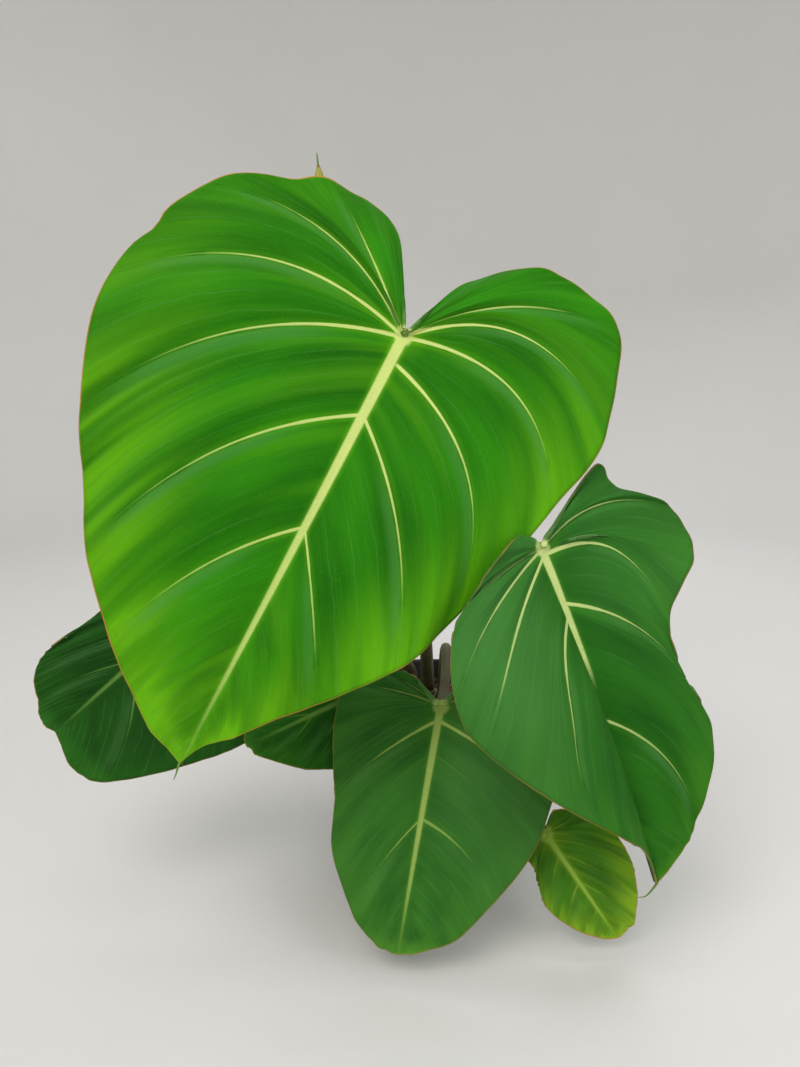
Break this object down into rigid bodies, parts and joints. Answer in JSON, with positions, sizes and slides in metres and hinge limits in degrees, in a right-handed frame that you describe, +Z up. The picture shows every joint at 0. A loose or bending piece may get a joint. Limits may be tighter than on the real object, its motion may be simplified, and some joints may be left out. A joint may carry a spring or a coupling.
{
  "type": "potted philodendron gloriosum",
  "caption": "Velvet-leaved creeping philodendron with large heart-shaped leaves and pale veins, growing in a black plastic nursery pot filled with potting mix.",
  "frame": {"origin": "centre of the pot's base, on the surface the pot stands on", "axes": "+Z up along the pot's axis; -Y is the side the plant faces, with the largest leaf towards it; the creeping stem grows towards -X"},
  "size_m": [0.408, 0.2613, 0.4702],
  "materials": {
    "pot": "matte black moulded polypropylene",
    "soil": "damp bark and coir potting mix with perlite",
    "creeping_stem": "fleshy green-brown stem with leaf scars",
    "blade_largest": "velvety leaf with pale veins",
    "blade_right": "velvety leaf with pale veins",
    "blade_front": "velvety leaf with pale veins",
    "blade_left": "velvety leaf with pale veins",
    "blade_lower_left": "velvety leaf with pale veins",
    "blade_small": "velvety leaf with pale veins",
    "stalk_largest": "firm grooved leaf stalk, brown-green",
    "stalk_right": "firm grooved leaf stalk, brown-green",
    "stalk_front": "firm grooved leaf stalk, brown-green",
    "stalk_left": "firm grooved leaf stalk, brown-green",
    "stalk_lower_left": "firm grooved leaf stalk, brown-green",
    "stalk_small": "firm grooved leaf stalk, brown-green",
    "rolled_leaf": "rolled young leaf, yellow-green",
    "sheath": "dry papery sheath"
  },
  "bodies": {
    "root": {"pot": "pot", "soil": "soil", "creeping_stem": "creeping_stem", "blade_largest": "blade_largest", "blade_right": "blade_right", "blade_front": "blade_front", "blade_left": "blade_left", "blade_lower_left": "blade_lower_left", "blade_small": "blade_small", "stalk_largest": "stalk_largest", "stalk_right": "stalk_right", "stalk_front": "stalk_front", "stalk_left": "stalk_left", "stalk_lower_left": "stalk_lower_left", "stalk_small": "stalk_small", "rolled_leaf": "rolled_leaf", "sheath": "sheath"}
  },
  "joints": []
}
